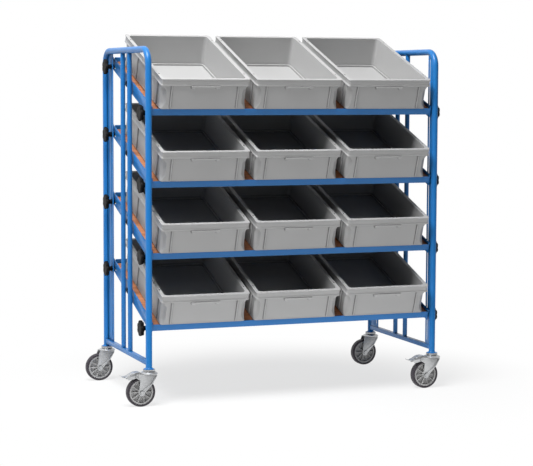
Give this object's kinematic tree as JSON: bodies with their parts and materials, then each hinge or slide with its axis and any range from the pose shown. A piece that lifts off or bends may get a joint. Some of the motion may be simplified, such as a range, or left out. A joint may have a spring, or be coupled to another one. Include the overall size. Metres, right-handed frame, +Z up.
{
  "type": "mobile bin cart",
  "caption": "Wheeled picking cart: hooped tube end frames on swivel castors carry tilted shelves, clamped by star knobs, that hold open stacking bins.",
  "frame": {"origin": "on the floor, in the middle of the rectangle of the frame posts", "axes": "+Z up, -Y towards the low picking side, +X to the right seen from that side"},
  "size_m": [1.509, 0.7698, 1.5994],
  "materials": {
    "frame_blue": "gloss",
    "bin_grey": "satin",
    "deck_wood": "sealed",
    "knob_black": "matte",
    "zinc": "zinc plated",
    "wheel_grey": "matte",
    "tyre": "matte"
  },
  "bodies": {
    "end_frames": {"left_hoop": "frame_blue", "left_infill_bars": "frame_blue", "left_slot_plates": "frame_blue", "left_foot_bar": "frame_blue", "right_hoop": "frame_blue", "right_infill_bars": "frame_blue", "right_slot_plates": "frame_blue", "right_foot_bar": "frame_blue", "castor_stems": "zinc"},
    "front_left_castor": {"front_left_fork": "zinc", "front_left_axle": "zinc"},
    "front_left_roller": {"front_left_wheel": "wheel_grey", "front_left_tyre": "tyre"},
    "front_left_brake": {"front_left_pedal": "zinc"},
    "rear_left_castor": {"rear_left_fork": "zinc", "rear_left_axle": "zinc"},
    "rear_left_roller": {"rear_left_wheel": "wheel_grey", "rear_left_tyre": "tyre"},
    "front_right_castor": {"front_right_fork": "zinc", "front_right_axle": "zinc"},
    "front_right_roller": {"front_right_wheel": "wheel_grey", "front_right_tyre": "tyre"},
    "front_right_brake": {"front_right_pedal": "zinc"},
    "rear_right_castor": {"rear_right_fork": "zinc", "rear_right_axle": "zinc"},
    "rear_right_roller": {"rear_right_wheel": "wheel_grey", "rear_right_tyre": "tyre"},
    "shelf_1": {"shelf_frame_1": "frame_blue", "shelf_deck_1": "deck_wood"},
    "rear_clamp_1": {"rear_clamps_1": "zinc"},
    "front_knob_1": {"front_knobs_1": "knob_black"},
    "rear_knob_1": {"rear_knobs_1": "knob_black"},
    "bin_1_1": {"bin_1_1": "bin_grey"},
    "bin_1_2": {"bin_1_2": "bin_grey"},
    "bin_1_3": {"bin_1_3": "bin_grey"},
    "shelf_2": {"shelf_frame_2": "frame_blue", "shelf_deck_2": "deck_wood"},
    "rear_clamp_2": {"rear_clamps_2": "zinc"},
    "front_knob_2": {"front_knobs_2": "knob_black"},
    "rear_knob_2": {"rear_knobs_2": "knob_black"},
    "bin_2_1": {"bin_2_1": "bin_grey"},
    "bin_2_2": {"bin_2_2": "bin_grey"},
    "bin_2_3": {"bin_2_3": "bin_grey"},
    "shelf_3": {"shelf_frame_3": "frame_blue", "shelf_deck_3": "deck_wood"},
    "rear_clamp_3": {"rear_clamps_3": "zinc"},
    "front_knob_3": {"front_knobs_3": "knob_black"},
    "rear_knob_3": {"rear_knobs_3": "knob_black"},
    "bin_3_1": {"bin_3_1": "bin_grey"},
    "bin_3_2": {"bin_3_2": "bin_grey"},
    "bin_3_3": {"bin_3_3": "bin_grey"},
    "shelf_4": {"shelf_frame_4": "frame_blue", "shelf_deck_4": "deck_wood"},
    "rear_clamp_4": {"rear_clamps_4": "zinc"},
    "front_knob_4": {"front_knobs_4": "knob_black"},
    "rear_knob_4": {"rear_knobs_4": "knob_black"},
    "bin_4_1": {"bin_4_1": "bin_grey"},
    "bin_4_2": {"bin_4_2": "bin_grey"},
    "bin_4_3": {"bin_4_3": "bin_grey"}
  },
  "joints": [
    {"name": "front_left_swivel", "type": "hinge", "parent": "end_frames", "child": "front_left_castor", "pos_m": [-0.673, -0.34076, 0.14], "axis": [0, 0, 1], "continuous": true},
    {"name": "front_left_roll", "type": "hinge", "parent": "front_left_castor", "child": "front_left_roller", "pos_m": [-0.711, -0.34076, 0.0625], "axis": [0, 1, 0], "continuous": true},
    {"name": "front_left_brake_press", "type": "hinge", "parent": "front_left_castor", "child": "front_left_brake", "pos_m": [-0.729, -0.34076, 0.1357], "axis": [0, -1, 0], "range_deg": [0, 14]},
    {"name": "rear_left_swivel", "type": "hinge", "parent": "end_frames", "child": "rear_left_castor", "pos_m": [-0.673, 0.34076, 0.14], "axis": [0, 0, 1], "continuous": true},
    {"name": "rear_left_roll", "type": "hinge", "parent": "rear_left_castor", "child": "rear_left_roller", "pos_m": [-0.711, 0.34076, 0.0625], "axis": [0, 1, 0], "continuous": true},
    {"name": "front_right_swivel", "type": "hinge", "parent": "end_frames", "child": "front_right_castor", "pos_m": [0.673, -0.34076, 0.14], "axis": [0, 0, 1], "continuous": true},
    {"name": "front_right_roll", "type": "hinge", "parent": "front_right_castor", "child": "front_right_roller", "pos_m": [0.635, -0.34076, 0.0625], "axis": [0, 1, 0], "continuous": true},
    {"name": "front_right_brake_press", "type": "hinge", "parent": "front_right_castor", "child": "front_right_brake", "pos_m": [0.617, -0.34076, 0.1357], "axis": [0, -1, 0], "range_deg": [0, 14]},
    {"name": "rear_right_swivel", "type": "hinge", "parent": "end_frames", "child": "rear_right_castor", "pos_m": [0.673, 0.34076, 0.14], "axis": [0, 0, 1], "continuous": true},
    {"name": "rear_right_roll", "type": "hinge", "parent": "rear_right_castor", "child": "rear_right_roller", "pos_m": [0.635, 0.34076, 0.0625], "axis": [0, 1, 0], "continuous": true},
    {"name": "shelf_1_tilt", "type": "hinge", "parent": "end_frames", "child": "shelf_1", "pos_m": [0, -0.29976, 1.2552], "axis": [1, 0, 0], "range_deg": [-7, 3]},
    {"name": "shelf_1_rear_height", "type": "slide", "parent": "end_frames", "child": "rear_clamp_1", "axis": [0, 0, 1], "range_m": [-0.0762, 0.0329]},
    {"name": "front_knob_1_turn", "type": "hinge", "parent": "end_frames", "child": "front_knob_1", "pos_m": [0, -0.29976, 1.2552], "axis": [1, 0, 0], "range_deg": [0, 360]},
    {"name": "rear_knob_1_turn", "type": "hinge", "parent": "rear_clamp_1", "child": "rear_knob_1", "pos_m": [0, 0.26076, 1.45479], "axis": [1, 0, 0], "range_deg": [0, 360]},
    {"name": "bin_1_1_lift", "type": "slide", "parent": "shelf_1", "child": "bin_1_1", "axis": [0, -0.3355, 0.9421], "range_m": [0, 0.06]},
    {"name": "bin_1_2_lift", "type": "slide", "parent": "shelf_1", "child": "bin_1_2", "axis": [0, -0.3355, 0.9421], "range_m": [0, 0.06]},
    {"name": "bin_1_3_lift", "type": "slide", "parent": "shelf_1", "child": "bin_1_3", "axis": [0, -0.3355, 0.9421], "range_m": [0, 0.06]},
    {"name": "shelf_2_tilt", "type": "hinge", "parent": "end_frames", "child": "shelf_2", "pos_m": [0, -0.29976, 0.9472], "axis": [1, 0, 0], "range_deg": [-7, 3]},
    {"name": "shelf_2_rear_height", "type": "slide", "parent": "end_frames", "child": "rear_clamp_2", "axis": [0, 0, 1], "range_m": [-0.0762, 0.0329]},
    {"name": "front_knob_2_turn", "type": "hinge", "parent": "end_frames", "child": "front_knob_2", "pos_m": [0, -0.29976, 0.9472], "axis": [1, 0, 0], "range_deg": [0, 360]},
    {"name": "rear_knob_2_turn", "type": "hinge", "parent": "rear_clamp_2", "child": "rear_knob_2", "pos_m": [0, 0.26076, 1.14679], "axis": [1, 0, 0], "range_deg": [0, 360]},
    {"name": "bin_2_1_lift", "type": "slide", "parent": "shelf_2", "child": "bin_2_1", "axis": [0, -0.3355, 0.9421], "range_m": [0, 0.06]},
    {"name": "bin_2_2_lift", "type": "slide", "parent": "shelf_2", "child": "bin_2_2", "axis": [0, -0.3355, 0.9421], "range_m": [0, 0.06]},
    {"name": "bin_2_3_lift", "type": "slide", "parent": "shelf_2", "child": "bin_2_3", "axis": [0, -0.3355, 0.9421], "range_m": [0, 0.06]},
    {"name": "shelf_3_tilt", "type": "hinge", "parent": "end_frames", "child": "shelf_3", "pos_m": [0, -0.29976, 0.6392], "axis": [1, 0, 0], "range_deg": [-7, 3]},
    {"name": "shelf_3_rear_height", "type": "slide", "parent": "end_frames", "child": "rear_clamp_3", "axis": [0, 0, 1], "range_m": [-0.0762, 0.0329]},
    {"name": "front_knob_3_turn", "type": "hinge", "parent": "end_frames", "child": "front_knob_3", "pos_m": [0, -0.29976, 0.6392], "axis": [1, 0, 0], "range_deg": [0, 360]},
    {"name": "rear_knob_3_turn", "type": "hinge", "parent": "rear_clamp_3", "child": "rear_knob_3", "pos_m": [0, 0.26076, 0.83879], "axis": [1, 0, 0], "range_deg": [0, 360]},
    {"name": "bin_3_1_lift", "type": "slide", "parent": "shelf_3", "child": "bin_3_1", "axis": [0, -0.3355, 0.9421], "range_m": [0, 0.06]},
    {"name": "bin_3_2_lift", "type": "slide", "parent": "shelf_3", "child": "bin_3_2", "axis": [0, -0.3355, 0.9421], "range_m": [0, 0.06]},
    {"name": "bin_3_3_lift", "type": "slide", "parent": "shelf_3", "child": "bin_3_3", "axis": [0, -0.3355, 0.9421], "range_m": [0, 0.06]},
    {"name": "shelf_4_tilt", "type": "hinge", "parent": "end_frames", "child": "shelf_4", "pos_m": [0, -0.29976, 0.3312], "axis": [1, 0, 0], "range_deg": [-7, 3]},
    {"name": "shelf_4_rear_height", "type": "slide", "parent": "end_frames", "child": "rear_clamp_4", "axis": [0, 0, 1], "range_m": [-0.0762, 0.0329]},
    {"name": "front_knob_4_turn", "type": "hinge", "parent": "end_frames", "child": "front_knob_4", "pos_m": [0, -0.29976, 0.3312], "axis": [1, 0, 0], "range_deg": [0, 360]},
    {"name": "rear_knob_4_turn", "type": "hinge", "parent": "rear_clamp_4", "child": "rear_knob_4", "pos_m": [0, 0.26076, 0.53079], "axis": [1, 0, 0], "range_deg": [0, 360]},
    {"name": "bin_4_1_lift", "type": "slide", "parent": "shelf_4", "child": "bin_4_1", "axis": [0, -0.3355, 0.9421], "range_m": [0, 0.06]},
    {"name": "bin_4_2_lift", "type": "slide", "parent": "shelf_4", "child": "bin_4_2", "axis": [0, -0.3355, 0.9421], "range_m": [0, 0.06]},
    {"name": "bin_4_3_lift", "type": "slide", "parent": "shelf_4", "child": "bin_4_3", "axis": [0, -0.3355, 0.9421], "range_m": [0, 0.06]}
  ],
  "couplings": [
    {"joint": "shelf_1_rear_height", "follows": "shelf_1_tilt", "m_per_rad": 0.619},
    {"joint": "shelf_2_rear_height", "follows": "shelf_2_tilt", "m_per_rad": 0.619},
    {"joint": "shelf_3_rear_height", "follows": "shelf_3_tilt", "m_per_rad": 0.619},
    {"joint": "shelf_4_rear_height", "follows": "shelf_4_tilt", "m_per_rad": 0.619}
  ]
}
